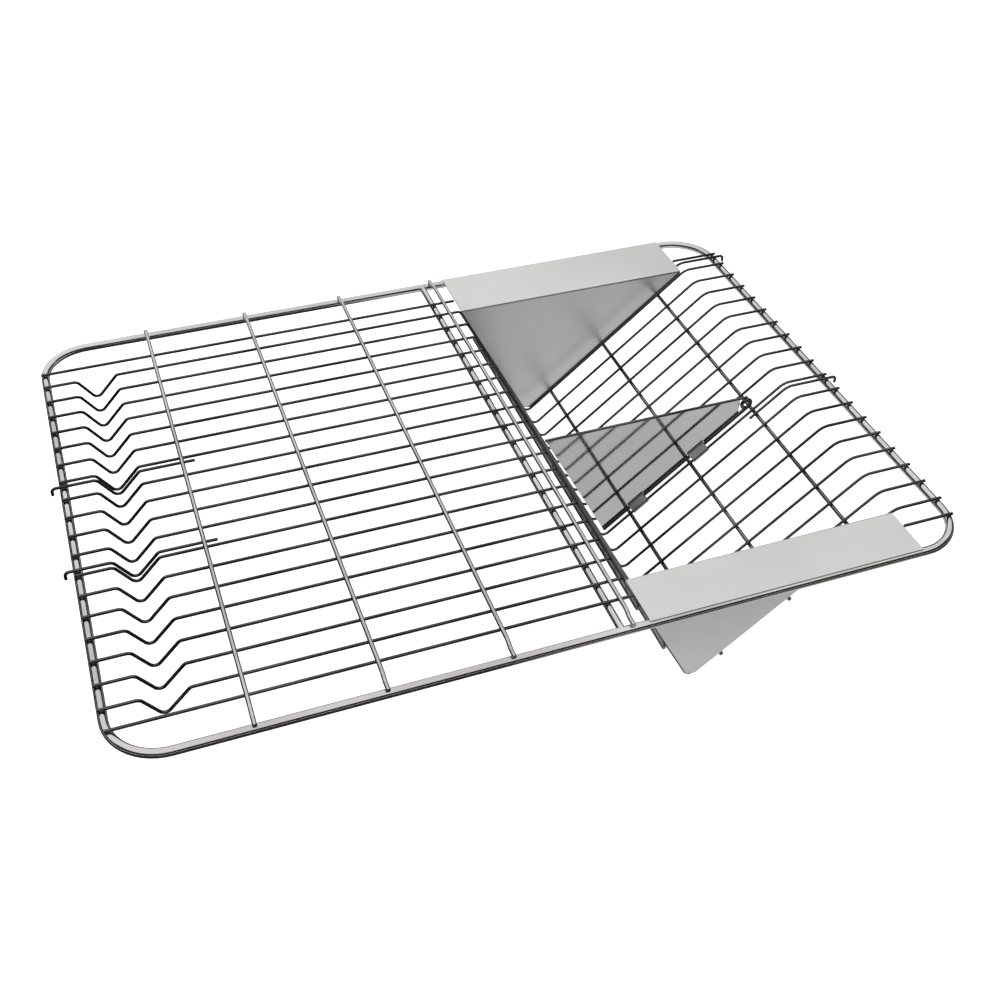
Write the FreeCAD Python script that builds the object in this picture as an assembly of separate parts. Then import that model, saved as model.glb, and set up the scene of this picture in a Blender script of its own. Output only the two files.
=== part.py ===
import FreeCAD, Part
import math
import os

V = FreeCAD.Vector

# ---- driving sizes, mm -------------------------------------------------
overall_width = 574.0        # outside of the frame rod, left to right (X)
overall_depth = 420.0        # outside of the frame rod, front to rear (Y)
frame_rod_d = 6.0            # closed perimeter rod
frame_corner_r = 34.0        # corner radius on the rod's centre line
stiffener_d = 5.0            # straight rod under the grid, beside the trough
stiffener_x = 314.0          # from the left outside edge
rack_wire_d = 2.2            # the close-set wires that run left to right
shaped_wires = 18            # wires with the plate groove and the trough
end_wire_gap = 16.6          # from the first and last shaped wire to the straight wire beside it
front_wire_in = 25.5         # the front straight wire, from the frame's front outside edge
rear_wire_in = 36.5          # the rear straight wire, from the frame's rear outside edge
wire_end_in = 0.5            # bare wire ends stop this far inside the frame's outside edge
cross_wire_d = 3.0           # wires that run front to rear
cross_wire_first = 84.0      # first one, from the left outside edge
cross_wire_pitch = 79.0
cross_wires = 4
joggle_run = 5.0             # length over which a cross wire's end steps down onto the rod
joggle_r = 6.0
groove_start = 25.0          # plate groove, from the left outside edge
groove_low = 37.3
groove_end = 54.5
groove_depth = 18.5
groove_radii = [5.0, 4.0, 3.5]           # bends of the groove, left to right
trough_left = 331.0          # top of the trough's steep wall
trough_low = 393.5           # where its two walls would meet
trough_right = 536.5         # top of its long slope
trough_depth = 120.0
trough_bend_r = 5.0          # bend radius of the wires at the trough's foot
trough_radii = [4.0, trough_bend_r, 14.0]
wall_cross_at = (0.35, 0.75)             # two wires behind the steep wall, as shares of its height
slope_cross_at = (512.3, 463.5, 415.8)   # x of the three wires under the long slope
sheet = 1.0                  # thickness of the end plates and the divider
plate_bend_r = 0.9           # inside radius of the end plates' bend
plate_edge_in = 2.0          # end plate flanges stop this far inside the rod's outer edge
plate_right = 532.5          # right end of the flanges
plate_left_gap = 1.5         # from the trough's left edge to the flanges
hook_reach = 5.0             # how far a hook's tip stands outside the frame rod
hook_drop = 5.5              # how far a hook's tip hangs below its wire's level
hook_gap = 5.0               # from a hook wire to the rack wire beside it
hook_tail = 9.0              # hook wire past the cross wire that ends it
hook_turn_r = 3.0            # bend radius at the tip
divider_wire = 10            # rack wire, counted from the rear, that carries the divider
hinge_wire_d = 3.0
hinge_back = 4.4             # hinge axis behind its rack wire
hinge_up = 1.6               # hinge axis above its rack wire, square to the slope
hinge_fit = 0.08             # radial clearance of the hinge wire in its clips
clip_sheet = 0.8
clip_length = 15.0
clip_gap = 2.0               # from a clip to the cross wire below it
eye_r = 3.7                  # mean radius of the finger eye
eye_at = 512.0               # where the hinge wire turns into its eye, from the left outside edge
eye_turn = 312.0             # degrees of a full ring that the eye makes
eye_gap = 1.0                # from the eye to the divider's plate
notch_gap = 1.0              # from a clip to the plate's notch round it
plate_gap = 4.0              # from the divider's left edge to the wires of the steep wall

# ---- levels, with the frame rod's underside at zero -------------------------
rod_r, wire_r, cross_r = frame_rod_d / 2, rack_wire_d / 2, cross_wire_d / 2
hinge_r = hinge_wire_d / 2
rod_top = frame_rod_d
wire_z = rod_top + wire_r
cross_z = rod_top + rack_wire_d + cross_r
low_z = wire_z - trough_depth

# ---- places, from the frame's centre ----------------------------------------
left_x, right_x = -overall_width / 2, overall_width / 2
front_y, rear_y = -overall_depth / 2, overall_depth / 2
first_wire_y, last_wire_y = rear_y - rear_wire_in, front_y + front_wire_in
rack_wire_pitch = (first_wire_y - last_wire_y - 2 * end_wire_gap) / (shaped_wires - 1)


def from_left(x):
    return left_x + x


def wire_y(number):
    """Centre of rack wire 0 (rear, straight) to shaped_wires + 1 (front, straight)."""
    if number == 0:
        return first_wire_y
    if number == shaped_wires + 1:
        return last_wire_y
    return first_wire_y - end_wire_gap - rack_wire_pitch * (number - 1)


# unit vectors of the long slope: up along it, and square to it into the trough
rise = V(trough_right - trough_low, 0, trough_depth).normalize()
into = V(-rise.z, 0, rise.x)
slope_foot = V(from_left(trough_low), 0, low_z)
wall_up = V(trough_left - trough_low, 0, trough_depth).normalize()


def on_slope(x, above, y):
    """A point above the long slope's wire centres, at the x where those centres are."""
    along = (from_left(x) - slope_foot.x) / rise.x
    p = slope_foot + rise * along + into * above
    return V(p.x, y, p.z)


def bent_path(points, radii):
    """Straight runs through the points, joined by tangent arcs of the given radii."""
    edges = []
    start = points[0]
    for before, corner, after, radius in zip(points, points[1:], points[2:], radii):
        back = (before - corner).normalize()
        on = (after - corner).normalize()
        half = back.getAngle(on) / 2
        reach = radius / math.tan(half)
        inward = (back + on).normalize()
        middle = corner + inward * (radius / math.sin(half) - radius)
        first, last = corner + back * reach, corner + on * reach
        edges.append(Part.LineSegment(start, first).toShape())
        edges.append(Part.Arc(first, middle, last).toShape())
        start = last
    edges.append(Part.LineSegment(start, points[-1]).toShape())
    return Part.Wire(edges)


def swept(path, diameter):
    """A round wire along a path."""
    first = path.OrderedEdges[0]
    start = first.valueAt(first.FirstParameter)
    heading = first.tangentAt(first.FirstParameter)
    if (start - path.OrderedVertexes[0].Point).Length > 1e-6:
        start = path.OrderedVertexes[0].Point
        heading = first.tangentAt(first.LastParameter) * -1
    circle = Part.Wire(Part.Circle(start, heading, diameter / 2).toShape())
    return path.makePipeShell([circle], True, False)


def bent_wire(points, radii, diameter):
    return swept(bent_path(points, radii), diameter)


def straight(a, b, diameter):
    return Part.makeCylinder(diameter / 2, (b - a).Length, a, b - a)


def slab(points, thickness):
    """A flat plate from its outline in X and Z, from the points' y towards the rear."""
    outline = Part.makePolygon(points + [points[0]])
    return Part.Face(outline).extrude(V(0, thickness, 0))


nodes = {}

# ---- frame rod and stiffener ---------------------------------------------------
corner = frame_corner_r
fx, fy = right_x - rod_r, rear_y - rod_r
start = V(0, front_y + rod_r, rod_r)
half_loop = [start, V(fx, -fy, rod_r), V(fx, fy, rod_r), V(0, fy, rod_r)]
right_half = bent_wire(half_loop, [corner, corner], frame_rod_d)
nodes["frame_rod"] = right_half.fuse(right_half.mirror(V(), V(1, 0, 0))).removeSplitter()

sx = from_left(stiffener_x)
sz = rod_top - stiffener_d / 2
bar = straight(V(sx, -fy, sz), V(sx, fy, sz), stiffener_d)
nodes["stiffener_rod"] = bar.cut(nodes["frame_rod"])

# ---- rack wires -----------------------------------------------------------------


def frame_edge_in(y):
    """How far the rounded corner has moved the rod's outside edge in, at this depth."""
    past = abs(y) - (overall_depth / 2 - rod_r - corner)
    return corner - math.sqrt(corner ** 2 - past ** 2) if past > 0 else 0.0


def groove_points(y):
    return [V(from_left(groove_start), y, wire_z), V(from_left(groove_low), y, wire_z - groove_depth),
            V(from_left(groove_end), y, wire_z)]


for number in range(shaped_wires + 2):
    y = wire_y(number)
    inset = frame_edge_in(y) + wire_end_in
    name = "rack_wire_%02d" % (number + 1)
    if number in (0, shaped_wires + 1):
        nodes[name] = straight(V(left_x + inset, y, wire_z), V(from_left(trough_left), y, wire_z),
                               rack_wire_d)
        end = "rear" if number == 0 else "front"
        nodes["stub_wire_" + end] = straight(V(from_left(plate_right) + wire_end_in, y, wire_z),
                                             V(right_x - inset, y, wire_z), rack_wire_d)
    else:
        points = [V(left_x + inset, y, wire_z)] + groove_points(y)
        points += [V(from_left(trough_left), y, wire_z), V(from_left(trough_low), y, low_z),
                   V(from_left(trough_right), y, wire_z), V(right_x - inset, y, wire_z)]
        nodes[name] = bent_wire(points, groove_radii + trough_radii, rack_wire_d)

# ---- cross wires: over the flat grid, under the trough ---------------------------------
end_z = rod_top + cross_r
for k in range(cross_wires):
    x = from_left(cross_wire_first + k * cross_wire_pitch)
    edge, low, high = fy + rod_r / 2, fy - frame_rod_d, fy - frame_rod_d - joggle_run
    points = [V(x, -edge, end_z), V(x, -low, end_z), V(x, -high, cross_z),
              V(x, high, cross_z), V(x, low, end_z), V(x, edge, end_z)]
    nodes["cross_wire_%d" % (k + 1)] = bent_wire(points, [joggle_r] * 4, cross_wire_d)

under = -(wire_r + cross_r)
rear_face = wire_y(1) + wire_r                   # inner faces of the end plates
front_face = wire_y(shaped_wires) - wire_r
for k, x in enumerate(slope_cross_at):
    front, rear = front_face - sheet, rear_face + sheet
    if k == 0:
        front, rear = wire_y(shaped_wires + 1), wire_y(0)
    nodes["slope_cross_wire_%d" % (k + 1)] = straight(on_slope(x, under, front), on_slope(x, under, rear),
                                                      cross_wire_d)
wall_out = V(-wall_up.z, 0, wall_up.x)
for k, part_way in enumerate(wall_cross_at):
    p = slope_foot + wall_up * (trough_depth / wall_up.z * part_way) + wall_out * (wire_r + cross_r)
    nodes["wall_cross_wire_%d" % (k + 1)] = straight(V(p.x, front_face - sheet, p.z),
                                                     V(p.x, rear_face + sheet, p.z), cross_wire_d)

# ---- hook wires --------------------------------------------------------------------


def hook_end(side, y):
    """From the tip, up and over the frame rod; side is -1 on the left and 1 on the right."""
    out = side * (overall_width / 2 + hook_reach)
    return [V(out, y, wire_z - hook_drop), V(out, y, wire_z)]


for name, y in (("rear", wire_y(7) - hook_gap), ("front", wire_y(12) + hook_gap)):
    points = hook_end(-1, y) + groove_points(y) + [V(from_left(cross_wire_first + hook_tail), y, wire_z)]
    nodes["hook_wire_left_" + name] = bent_wire(points, [hook_turn_r] + groove_radii, rack_wire_d)
for name, y in (("rear", wire_y(0) - hook_gap), ("middle", wire_y(divider_wire) - hook_gap)):
    points = hook_end(1, y) + [V(from_left(trough_right), y, wire_z),
                               on_slope(slope_cross_at[0] - hook_tail / 2, 0, y)]
    nodes["hook_wire_right_" + name] = bent_wire(points, [hook_turn_r, trough_radii[2]], rack_wire_d)

# ---- end plates -----------------------------------------------------------------------
flange_left = from_left(trough_left) + plate_left_gap
flange_right = from_left(plate_right)
flange_top = rod_top + sheet
foot_half_angle = rise.getAngle(wall_up) / 2
foot_cut = trough_bend_r / math.tan(foot_half_angle)      # where the wires' bend starts


def bend_edge(plate, y, z):
    """The sharp edge along the whole bend, at this y and z."""
    boxes = [(e, e.BoundBox) for e in plate.Edges]
    return [e for e, box in boxes if abs(box.XLength - (flange_right - flange_left)) < 0.01
            and abs(box.YMin - y) + box.YLength < 0.01 and abs(box.ZMin - z) + box.ZLength < 0.01]


def end_plate(y):
    """A rear plate with its face at y: it closes the trough, and is bent over into a flange on the rod."""
    wall_x = from_left(trough_left) + (wire_z - rod_top) * (trough_low - trough_left) / trough_depth
    foot_wall = slope_foot + wall_up * foot_cut
    foot_slope = slope_foot + rise * foot_cut
    slope_end = on_slope(plate_right, 0, y)
    face = slab([V(flange_left, y, flange_top), V(flange_left, y, rod_top),
                 V(max(wall_x, flange_left), y, rod_top - sheet),
                 V(foot_wall.x, y, foot_wall.z), V(foot_slope.x, y, foot_slope.z), slope_end,
                 V(flange_right, y, flange_top)], sheet)
    flange = Part.makeBox(flange_right - flange_left, rear_y - plate_edge_in - y, sheet,
                          V(flange_left, y, rod_top))
    plate = face.fuse(flange).removeSplitter()
    plate = plate.makeFillet(plate_bend_r + sheet, bend_edge(plate, y, flange_top))
    return plate.makeFillet(plate_bend_r, bend_edge(plate, y + sheet, rod_top))


nodes["end_plate_rear"] = end_plate(rear_face)
nodes["end_plate_front"] = end_plate(-front_face).mirror(V(), V(0, 1, 0))

# ---- divider: plate, hinge wire with its eye, top wire ----------------------------------
axis_y = wire_y(divider_wire) + hinge_back
off_wall = V(wall_up.z, 0, -wall_up.x)
along_low = (plate_gap - off_wall.dot(into) * hinge_up) / off_wall.dot(rise)
axis_low = slope_foot + rise * along_low + into * hinge_up
axis_low.y = axis_y
axis_high = on_slope(eye_at, hinge_up, axis_y)

eye_centre = axis_high + into * eye_r


def on_eye(degrees):
    """A point of the eye's centre line, measured round from the end of the straight wire."""
    angle = math.radians(degrees)
    return eye_centre + rise * (eye_r * math.sin(angle)) - into * (eye_r * math.cos(angle))


hinge_path = Part.Wire([Part.LineSegment(axis_low, axis_high).toShape(),
                        Part.Arc(axis_high, on_eye(eye_turn / 2), on_eye(eye_turn)).toShape()])
nodes["divider_hinge_wire"] = swept(hinge_path, hinge_wire_d)

# the top wire rests on the eye, and the plate fills the triangle under it
top_z = eye_centre.z + eye_r + hinge_r + wire_r
top_left = slope_foot + wall_up * ((top_z - low_z) / wall_up.z) + V(plate_gap / off_wall.x, 0, 0)
top_left.y = axis_y
plate_right_x = eye_centre.x - eye_r - hinge_r - eye_gap
low_right = axis_low + rise * ((plate_right_x - axis_low.x) / rise.x)
outline = [axis_low, top_left, V(plate_right_x, axis_y, top_z), low_right]
plate = slab([p - V(0, sheet / 2, 0) for p in outline], sheet)
top_wire = straight(top_left, V(eye_centre.x, axis_y, top_z), rack_wire_d)

# clips sit just above the two lower cross wires; the plate is notched round them
clip_starts = [on_slope(x, 0, 0) + rise * (cross_r + clip_gap) for x in slope_cross_at[1:]]
notch_r = hinge_r + hinge_fit + clip_sheet + notch_gap
for at in clip_starts:
    along = (at - slope_foot).dot(rise)
    base = slope_foot + rise * (along - notch_gap) + into * hinge_up
    base.y = axis_y
    plate = plate.cut(straight(base, base + rise * (clip_length + 2 * notch_gap), 2 * notch_r))
nodes["divider_plate"] = plate.cut(nodes["divider_hinge_wire"]).cut(top_wire)
nodes["divider_top_wire"] = top_wire


def strap_outline(at, wire_hole_r, hinge_hole_r):
    """A closed outline round both wires, square to the slope: two arcs and their tangents."""
    a = V(at.x, wire_y(divider_wire), at.z)
    b = V(at.x, axis_y, at.z) + into * hinge_up
    line = b - a
    lean = math.asin((hinge_hole_r - wire_hole_r) / line.Length)
    line.normalize()
    side = rise.cross(line)
    up = side * math.cos(lean) - line * math.sin(lean)
    down = side * -math.cos(lean) - line * math.sin(lean)
    a_up, a_down = a + up * wire_hole_r, a + down * wire_hole_r
    b_up, b_down = b + up * hinge_hole_r, b + down * hinge_hole_r
    return Part.Wire([Part.LineSegment(a_up, b_up).toShape(),
                      Part.Arc(b_up, b + line * hinge_hole_r, b_down).toShape(),
                      Part.LineSegment(b_down, a_down).toShape(),
                      Part.Arc(a_down, a - line * wire_hole_r, a_up).toShape()])


for name, at in zip(("upper", "lower"), clip_starts):
    holes = (wire_r, hinge_r + hinge_fit)
    outlines = [strap_outline(at, holes[0] + grow, holes[1] + grow) for grow in (clip_sheet, 0.0)]
    outside, inside = [Part.Face(outline).extrude(rise * clip_length) for outline in outlines]
    nodes["hinge_clip_" + name] = outside.cut(inside)

# ---- write ----------------------------------------------------------------------------------
os.makedirs("parts", exist_ok=True)
for name, shape in nodes.items():
    solids = shape.Solids
    print("%-26s solids %d valid %s volume %.1f" % (name, len(solids), shape.isValid(), shape.Volume))
    solids[0].exportStep("parts/%s.step" % name)
print("nodes", len(nodes))
print("hinge axis point", [round(v, 3) for v in axis_low], "direction", [round(v, 6) for v in rise])
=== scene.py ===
import math

import bmesh
import bpy
from mathutils import Matrix, Vector


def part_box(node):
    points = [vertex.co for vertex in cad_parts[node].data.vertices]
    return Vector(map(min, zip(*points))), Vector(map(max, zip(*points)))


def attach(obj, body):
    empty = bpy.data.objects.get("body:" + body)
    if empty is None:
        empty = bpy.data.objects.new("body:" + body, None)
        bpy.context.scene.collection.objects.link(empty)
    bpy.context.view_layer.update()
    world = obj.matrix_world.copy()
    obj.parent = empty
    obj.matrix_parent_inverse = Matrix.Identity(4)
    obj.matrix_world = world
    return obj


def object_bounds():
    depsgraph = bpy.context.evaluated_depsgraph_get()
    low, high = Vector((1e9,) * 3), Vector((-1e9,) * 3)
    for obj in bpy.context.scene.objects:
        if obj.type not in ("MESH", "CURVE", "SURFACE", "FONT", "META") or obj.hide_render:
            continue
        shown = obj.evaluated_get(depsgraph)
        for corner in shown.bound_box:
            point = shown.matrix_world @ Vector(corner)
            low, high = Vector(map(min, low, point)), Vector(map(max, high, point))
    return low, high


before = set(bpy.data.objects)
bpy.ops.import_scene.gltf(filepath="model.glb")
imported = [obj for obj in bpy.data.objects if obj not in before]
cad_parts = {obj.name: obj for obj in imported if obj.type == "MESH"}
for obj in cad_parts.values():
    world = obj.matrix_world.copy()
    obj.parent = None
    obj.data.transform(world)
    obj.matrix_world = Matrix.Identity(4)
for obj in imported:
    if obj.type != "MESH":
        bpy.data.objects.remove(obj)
cad_low, cad_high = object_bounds()
RACK = "rack"

# ---- camera: metres from the middle of the frame, degrees, and the lens in mm -----------
CAMERA_AT = Vector((-0.2390, -0.6785, 0.5882))
CAMERA_YAW, CAMERA_DOWN, CAMERA_ROLL = 21.13, 41.78, 1.59
CAMERA_LENS = 45.77

# ---- studio ---------------------------------------------------------------------------------
FLOOR_GAP = 0.030            # floor below the trough's foot
FLOOR_SIZE, FLOOR_GLOW = 12.0, 0.78
CARD_SIZE, CARD_BRIGHT, CARD_DARK = 4.0, 0.62, 0.03
CARD_LIFT = 0.002            # card above the floor
CARD_FRONT = (-0.25, 0.0)    # where the card is dark and where it is bright, from the frame's front
CARD_LEFT = (-0.06, 0.02)    # the same from the trough's left end
CARD_RIGHT = (0.12, 0.04)    # the same from the frame's right side
SKY_BRIGHT, SKY_DARK = 0.86, 0.02
# the sky's dark bands: where each is still bright and where it is dark, by the direction's axis
FRONT_BAND_Y, FRONT_BAND_Z = (0.25, -0.05), (0.70, 0.56)
SIDE_BAND_X, SIDE_BAND_Z = (0.38, 0.56), (0.55, 0.35)
SOFT_BOXES = [("rear_box", (0.2, 1.6, 1.6), 1.6, 30.0),       # name, place, size, watts
              ("left_box", (-1.8, 0.2, 1.2), 1.2, 12.0)]

# ---- weld beads -----------------------------------------------------------------------------
FRAME_CORNER_R = 0.034       # frame rod's corner, on its centre line
BEAD_R, BEAD_FLAT, BEAD_UNEVEN = 0.00085, 0.55, 0.10
WAVE_ACROSS, WAVE_ALONG, WAVE_SHIFT = 9.0, 7.0, 2.0           # make each bead's bumps differ

# ---- broken edges ---------------------------------------------------------------------------
SHEET_EDGE, WIRE_EDGE = 0.00018, 0.00030
SHARP_ANGLE = 50             # degrees
SHEET_NODES = ("end_plate", "divider_plate", "hinge_clip")

# ---- surfaces -------------------------------------------------------------------------------
NOISE_LOW, NOISE_HIGH = 0.3, 0.7          # part of the noise that the roughness follows
TONE_LOW, TONE_HIGH = 0.35, 0.65          # part of the noise that the tone follows
RELIEF_DEPTH = 0.0001


def node_tree(material):
    material.use_nodes = True
    tree = material.node_tree
    tree.nodes.clear()
    return tree.nodes, tree.links


def stretched_noise(nodes, links, stretch, scale, detail):
    """Noise in the object's own metres, stretched along the axes whose factor is small."""
    coords = nodes.new("ShaderNodeTexCoord")
    mapping = nodes.new("ShaderNodeMapping")
    mapping.inputs["Scale"].default_value = stretch
    noise = nodes.new("ShaderNodeTexNoise")
    noise.inputs["Scale"].default_value = scale
    noise.inputs["Detail"].default_value = detail
    links.new(coords.outputs["Object"], mapping.inputs["Vector"])
    links.new(mapping.outputs["Vector"], noise.inputs["Vector"])
    return noise.outputs["Fac"]


def two_colours(nodes, links, factor, dark, light):
    ramp = nodes.new("ShaderNodeValToRGB")
    ramp.color_ramp.elements[0].position = TONE_LOW
    ramp.color_ramp.elements[0].color = (*dark, 1.0)
    ramp.color_ramp.elements[1].position = TONE_HIGH
    ramp.color_ramp.elements[1].color = (*light, 1.0)
    links.new(factor, ramp.inputs["Fac"])
    return ramp.outputs["Color"]


def in_range(nodes, links, factor, low, high):
    spread = nodes.new("ShaderNodeMapRange")
    spread.inputs["From Min"].default_value = NOISE_LOW
    spread.inputs["From Max"].default_value = NOISE_HIGH
    spread.inputs["To Min"].default_value = low
    spread.inputs["To Max"].default_value = high
    links.new(factor, spread.inputs["Value"])
    return spread.outputs["Result"]


def steel(name, dark, light, roughness, grain, bump, cloud=14.0):
    """Stainless steel: a slow change of tone, and a fine grain in its roughness and relief."""
    material = bpy.data.materials.new(name)
    nodes, links = node_tree(material)
    output = nodes.new("ShaderNodeOutputMaterial")
    shader = nodes.new("ShaderNodeBsdfPrincipled")
    shader.inputs["Metallic"].default_value = 1.0
    tone = stretched_noise(nodes, links, (1.0, 1.0, 1.0), cloud, 3.0)
    fine = stretched_noise(nodes, links, grain, 1.0, 4.0)
    links.new(two_colours(nodes, links, tone, dark, light), shader.inputs["Base Color"])
    links.new(in_range(nodes, links, fine, *roughness), shader.inputs["Roughness"])
    relief = nodes.new("ShaderNodeBump")
    relief.inputs["Strength"].default_value = bump
    relief.inputs["Distance"].default_value = RELIEF_DEPTH
    links.new(fine, relief.inputs["Height"])
    links.new(relief.outputs["Normal"], shader.inputs["Normal"])
    links.new(shader.outputs["BSDF"], output.inputs["Surface"])
    return material


ALONG_X, ALONG_Y, EVEN = (60.0, 2600.0, 2600.0), (2600.0, 60.0, 2600.0), (900.0, 900.0, 900.0)
# dark tone, light tone, roughness, grain, relief
# the rack, trough and divider wires' dark tones are painted shade; the other tones are the steel's own
finish_and_painted_shade = {
    # painted shade: the X-direction rack wires are the same steel as the cross wires, darkened to near
    # black for the dark front they reflect
    "rack_wire": steel("wire_x_painted_shade", (0.06, 0.056, 0.055), (0.15, 0.143, 0.14),
                       (0.10, 0.20), ALONG_X, 0.15),
    "cross_wire": steel("drawn_wire_y", (0.54, 0.54, 0.54), (0.72, 0.72, 0.715),
                        (0.12, 0.22), ALONG_Y, 0.15),
    # painted shade: the trough's cross wires are the deck's cross wire, darkened where they lie under
    # the deck
    "trough_wire": steel("wire_under_painted_shade", (0.12, 0.12, 0.12), (0.30, 0.30, 0.295),
                         (0.12, 0.22), ALONG_Y, 0.15),
    "rod": steel("polished_rod", (0.60, 0.585, 0.575), (0.78, 0.765, 0.75),
                 (0.07, 0.16), EVEN, 0.02, cloud=9.0),
    "plate": steel("brushed_sheet", (0.73, 0.73, 0.715), (0.82, 0.82, 0.805),
                   (0.30, 0.38), ALONG_X, 0.10, cloud=6.0),
    "mirror": steel("polished_sheet", (0.58, 0.58, 0.58), (0.68, 0.68, 0.68),
                    (0.03, 0.08), EVEN, 0.03, cloud=8.0),
    # painted shade: the divider's edge wire is darkened to near black, standing in for the shadow under
    # the plate's edge
    "divider_wire": steel("dark_wire", (0.07, 0.07, 0.07), (0.17, 0.17, 0.17),
                          (0.14, 0.24), ALONG_X, 0.15),
    "clip": steel("pressed_strap", (0.26, 0.26, 0.26), (0.46, 0.46, 0.46),
                  (0.18, 0.30), ALONG_X, 0.2),
    "bead": steel("weld_bead", (0.40, 0.37, 0.33), (0.62, 0.60, 0.57),
                  (0.25, 0.40), EVEN, 0.4, cloud=700.0),
}


def finish_of(node):
    if node.startswith(("frame_rod", "stiffener")):
        return finish_and_painted_shade["rod"]
    if node.startswith("end_plate"):
        return finish_and_painted_shade["plate"]
    if node == "divider_plate":
        return finish_and_painted_shade["mirror"]
    if node.startswith("divider"):
        return finish_and_painted_shade["divider_wire"]
    if node.startswith("hinge_clip"):
        return finish_and_painted_shade["clip"]
    if node.startswith("cross_wire"):
        return finish_and_painted_shade["cross_wire"]
    if "cross_wire" in node:
        return finish_and_painted_shade["trough_wire"]
    return finish_and_painted_shade["rack_wire"]


def dress(obj, material):
    obj.data.materials.clear()
    obj.data.materials.append(material)


def round_edges(obj, width):
    """Break the sharp edges of sheet metal and cut wire ends."""
    bevel = obj.modifiers.new("broken_edges", "BEVEL")
    bevel.width = width
    bevel.segments = 2
    bevel.limit_method = "ANGLE"
    bevel.angle_limit = math.radians(SHARP_ANGLE)


for name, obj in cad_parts.items():
    dress(obj, finish_of(name))
    round_edges(obj, SHEET_EDGE if name.startswith(SHEET_NODES) else WIRE_EDGE)


# ---- places read from the CAD nodes ---------------------------------------------------------
def named(start):
    return sorted(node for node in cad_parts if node.startswith(start))


def middle(node):
    low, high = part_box(node)
    return (low + high) / 2


rack_wires = named("rack_wire_")
shaped_wires = rack_wires[1:-1]
deck_wires = named("cross_wire_")
slope_wires = named("slope_cross_wire_")
wall_wires = named("wall_cross_wire_")
rod_low, rod_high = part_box("frame_rod")
rod_r = (rod_high.z - rod_low.z) / 2


def lane(node):
    return middle(node).y


def edge_in(y):
    """How far the frame's rounded corner has moved the rod's centre line in, at this depth."""
    past = abs(y) - (rod_high.y - rod_r - FRAME_CORNER_R)
    return FRAME_CORNER_R - math.sqrt(FRAME_CORNER_R ** 2 - past ** 2) if past > 0 else 0.0


def beads(name, spots):
    """Small uneven beads of weld metal, flattened along each spot's direction."""
    mesh = bmesh.new()
    for count, (spot, direction) in enumerate(spots):
        turn = direction.to_track_quat("Z", "Y").to_matrix().to_4x4()
        squash = Matrix.Diagonal((1.0, 1.0, BEAD_FLAT, 1.0))
        place = Matrix.Translation(spot) @ turn @ squash
        made = bmesh.ops.create_icosphere(mesh, subdivisions=2, radius=BEAD_R)["verts"]
        for vert in made:
            across = math.sin(WAVE_ACROSS * vert.co.x / BEAD_R + count)
            along = math.cos(WAVE_ALONG * vert.co.y / BEAD_R - WAVE_SHIFT * count)
            vert.co *= 1.0 + BEAD_UNEVEN * (across * along)
            vert.co = place @ vert.co
    for face in mesh.faces:
        face.smooth = True
    data = bpy.data.meshes.new(name)
    mesh.to_mesh(data)
    mesh.free()
    obj = bpy.data.objects.new(name, data)
    bpy.context.scene.collection.objects.link(obj)
    dress(obj, finish_and_painted_shade["bead"])
    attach(obj, RACK)


UP = Vector((0, 0, 1))


def deck_beads():
    spots = []
    for cross in deck_wires:
        low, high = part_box(cross)
        wire_d = high.x - low.x
        spots += [(Vector((middle(cross).x, lane(wire), high.z - wire_d)), UP) for wire in rack_wires]
        spots += [(Vector((middle(cross).x, y, rod_high.z)), UP)
                  for y in (rod_low.y + rod_r, rod_high.y - rod_r)]
    return spots


def rod_beads():
    places = [(rod_low.x + rod_r + edge_in(lane(wire)), wire) for wire in rack_wires]
    right = shaped_wires + ["stub_wire_rear", "stub_wire_front"]
    places += [(rod_high.x - rod_r - edge_in(lane(wire)), wire) for wire in right]
    places += [(middle("stiffener_rod").x, wire) for wire in rack_wires]
    places += [(rod_low.x + rod_r, hook) for hook in named("hook_wire_left")]
    places += [(rod_high.x - rod_r, hook) for hook in named("hook_wire_right")]
    return [(Vector((x, lane(wire), rod_high.z)), UP) for x, wire in places]


def trough_beads():
    spots = []
    for wires, inward in ((slope_wires, Vector((-1, 0, 0))), (wall_wires, Vector((1, 0, 0)))):
        along = (middle(wires[0]) - middle(wires[-1])).normalized()
        square = Vector((-along.z, 0, along.x))
        if square.dot(inward) < 0:
            square.negate()
        for cross in wires:
            low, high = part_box(cross)
            reach = (high.z - low.z) / 2
            spots += [(Vector((middle(cross).x, lane(wire), middle(cross).z)) + square * reach, square)
                      for wire in shaped_wires]
    return spots


beads("deck_welds", deck_beads())
beads("rod_welds", rod_beads())
beads("trough_welds", trough_beads())


# ---- floor, sky, lights and camera --------------------------------------------------------------
def plane(name, size, centre):
    half = size / 2
    corners = [(-half, -half, 0), (half, -half, 0), (half, half, 0), (-half, half, 0)]
    data = bpy.data.meshes.new(name)
    data.from_pydata(corners, [], [(0, 1, 2, 3)])
    obj = bpy.data.objects.new(name, data)
    obj.location = centre
    bpy.context.scene.collection.objects.link(obj)
    return obj


def pale_floor(height):
    material = bpy.data.materials.new("pale_floor")
    nodes, links = node_tree(material)
    output = nodes.new("ShaderNodeOutputMaterial")
    shader = nodes.new("ShaderNodeBsdfPrincipled")
    shader.inputs["Roughness"].default_value = 0.9
    shader.inputs["Emission Color"].default_value = (1.0, 1.0, 1.0, 1.0)
    shader.inputs["Emission Strength"].default_value = FLOOR_GLOW
    speck = stretched_noise(nodes, links, (1.0, 1.0, 1.0), 30.0, 2.0)
    greys = two_colours(nodes, links, speck, (0.52, 0.52, 0.52), (0.54, 0.54, 0.54))
    links.new(greys, shader.inputs["Base Color"])
    links.new(shader.outputs["BSDF"], output.inputs["Surface"])
    floor = plane("floor", FLOOR_SIZE, (0, 0, height))
    dress(floor, material)


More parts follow.
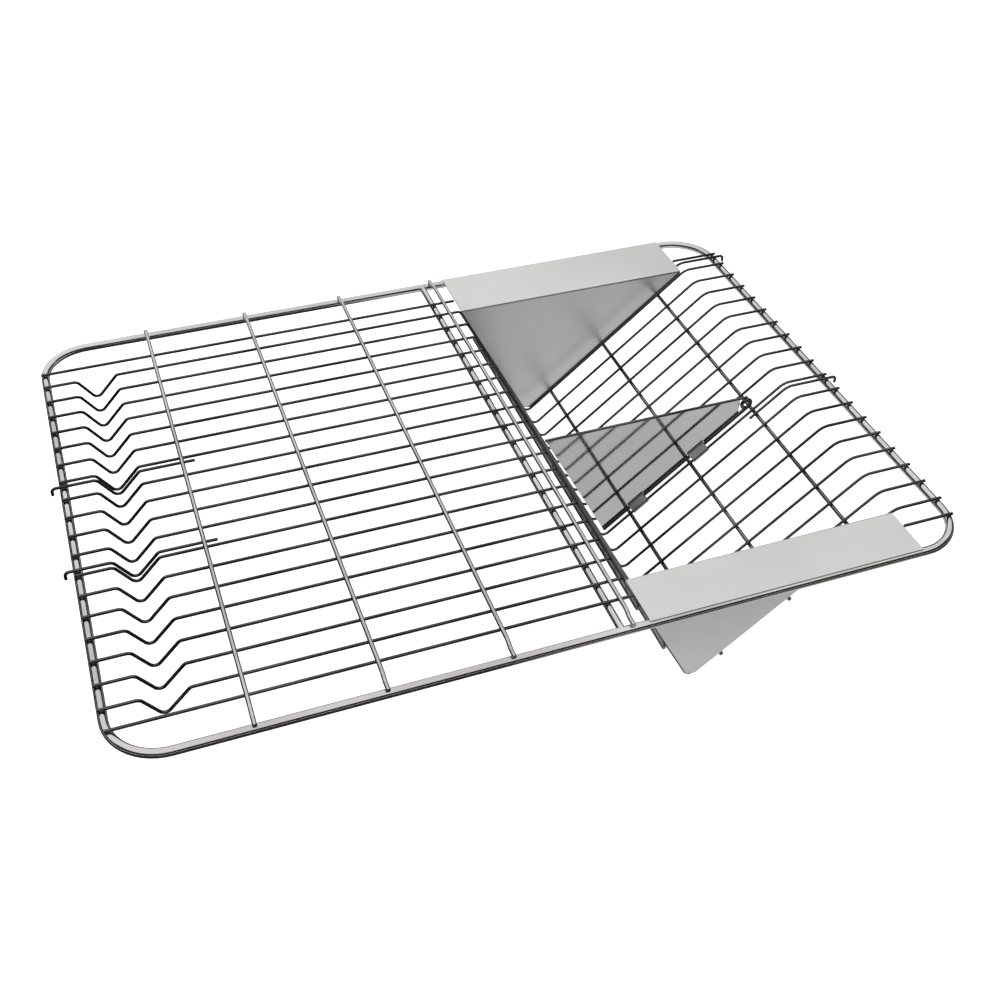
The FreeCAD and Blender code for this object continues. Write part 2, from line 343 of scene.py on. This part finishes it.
def grey_card(height):
    """A card that only reflections see: grey under the trough and dark elsewhere."""
    trough_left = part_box("end_plate_rear")[0].x
    material = bpy.data.materials.new("grey_card")
    nodes, links = node_tree(material)
    output = nodes.new("ShaderNodeOutputMaterial")
    glow = nodes.new("ShaderNodeEmission")
    coords = nodes.new("ShaderNodeTexCoord")
    axes = nodes.new("ShaderNodeSeparateXYZ")
    links.new(coords.outputs["Object"], axes.inputs["Vector"])

    def fade(axis, edge, limits):
        step = nodes.new("ShaderNodeMapRange")
        step.inputs["From Min"].default_value = edge + limits[0]
        step.inputs["From Max"].default_value = edge + limits[1]
        links.new(axes.outputs[axis], step.inputs["Value"])
        return step.outputs["Result"]

    edges = [fade("Y", cad_low.y, CARD_FRONT), fade("X", trough_left, CARD_LEFT),
             fade("X", cad_high.x, CARD_RIGHT)]
    shade = edges[0]
    for edge in edges[1:]:
        both = nodes.new("ShaderNodeMath")
        both.operation = "MULTIPLY"
        links.new(shade, both.inputs[0])
        links.new(edge, both.inputs[1])
        shade = both.outputs["Value"]
    level = nodes.new("ShaderNodeMapRange")
    level.inputs["To Min"].default_value = CARD_DARK
    level.inputs["To Max"].default_value = CARD_BRIGHT
    links.new(shade, level.inputs["Value"])
    links.new(level.outputs["Result"], glow.inputs["Strength"])
    links.new(glow.outputs["Emission"], output.inputs["Surface"])
    card = plane("reflection_card", CARD_SIZE, (0, 0, height))
    dress(card, material)
    for kind in ("camera", "diffuse", "transmission", "volume_scatter", "shadow"):
        setattr(card, "visible_" + kind, False)


def sky():
    """Bright overhead and behind, dark round the front and low at the sides; white to the camera."""
    world = bpy.data.worlds.new("studio")
    bpy.context.scene.world = world
    nodes, links = node_tree(world)
    output = nodes.new("ShaderNodeOutputWorld")
    background = nodes.new("ShaderNodeBackground")
    coords = nodes.new("ShaderNodeTexCoord")
    axes = nodes.new("ShaderNodeSeparateXYZ")
    links.new(coords.outputs["Generated"], axes.inputs["Vector"])

    def math_node(operation, *values):
        node = nodes.new("ShaderNodeMath")
        node.operation = operation
        for socket, value in zip(node.inputs, values):
            if isinstance(value, float):
                socket.default_value = value
            else:
                links.new(value, socket)
        return node.outputs["Value"]

    def ramp(value, limits):
        step = nodes.new("ShaderNodeMapRange")
        step.interpolation_type = "SMOOTHSTEP"
        step.inputs["From Min"].default_value = limits[0]
        step.inputs["From Max"].default_value = limits[1]
        links.new(value, step.inputs["Value"])
        return step.outputs["Result"]

    x, y, z = (axes.outputs[axis] for axis in "XYZ")
    front = math_node("MULTIPLY", ramp(y, FRONT_BAND_Y), ramp(z, FRONT_BAND_Z))
    sides = math_node("MULTIPLY", ramp(math_node("ABSOLUTE", x), SIDE_BAND_X), ramp(z, SIDE_BAND_Z))
    seen = nodes.new("ShaderNodeLightPath").outputs["Is Camera Ray"]
    unseen = math_node("SUBTRACT", 1.0, seen)
    dark = math_node("MULTIPLY", math_node("MAXIMUM", front, sides), unseen)
    mix = nodes.new("ShaderNodeMix")
    mix.data_type = "RGBA"
    mix.inputs["A"].default_value = (SKY_BRIGHT, SKY_BRIGHT, SKY_BRIGHT, 1.0)
    mix.inputs["B"].default_value = (SKY_DARK, SKY_DARK, SKY_DARK, 1.0)
    links.new(dark, mix.inputs["Factor"])
    links.new(mix.outputs["Result"], background.inputs["Color"])
    links.new(math_node("ADD", 1.0, seen), background.inputs["Strength"])
    links.new(background.outputs["Background"], output.inputs["Surface"])


def soft_box(name, at, size, power):
    light = bpy.data.lights.new(name, "AREA")
    light.energy = power
    light.size = size
    obj = bpy.data.objects.new(name, light)
    obj.location = at
    obj.rotation_mode = "QUATERNION"
    obj.rotation_quaternion = (-Vector(at)).to_track_quat("-Z", "Y")
    obj.visible_glossy = False
    bpy.context.scene.collection.objects.link(obj)


def camera():
    yaw, down, roll = (math.radians(angle) for angle in (CAMERA_YAW, CAMERA_DOWN, CAMERA_ROLL))
    ahead = Vector((math.sin(yaw) * math.cos(down), math.cos(yaw) * math.cos(down), -math.sin(down)))
    level = Vector((math.cos(yaw), -math.sin(yaw), 0))
    upright = level.cross(ahead)
    right = level * math.cos(roll) + upright * math.sin(roll)
    up = upright * math.cos(roll) - level * math.sin(roll)
    data = bpy.data.cameras.new("camera")
    data.lens = CAMERA_LENS
    data.clip_start, data.clip_end = 0.01, 50.0
    obj = bpy.data.objects.new("camera", data)
    obj.matrix_world = Matrix.Translation(CAMERA_AT) @ Matrix((right, up, -ahead)).transposed().to_4x4()
    bpy.context.scene.collection.objects.link(obj)
    bpy.context.scene.camera = obj


floor_height = cad_low.z - FLOOR_GAP
pale_floor(floor_height)
grey_card(floor_height + CARD_LIFT)
sky()
for soft_box_facts in SOFT_BOXES:
    soft_box(*soft_box_facts)
camera()
bpy.context.scene.view_settings.view_transform = "Standard"
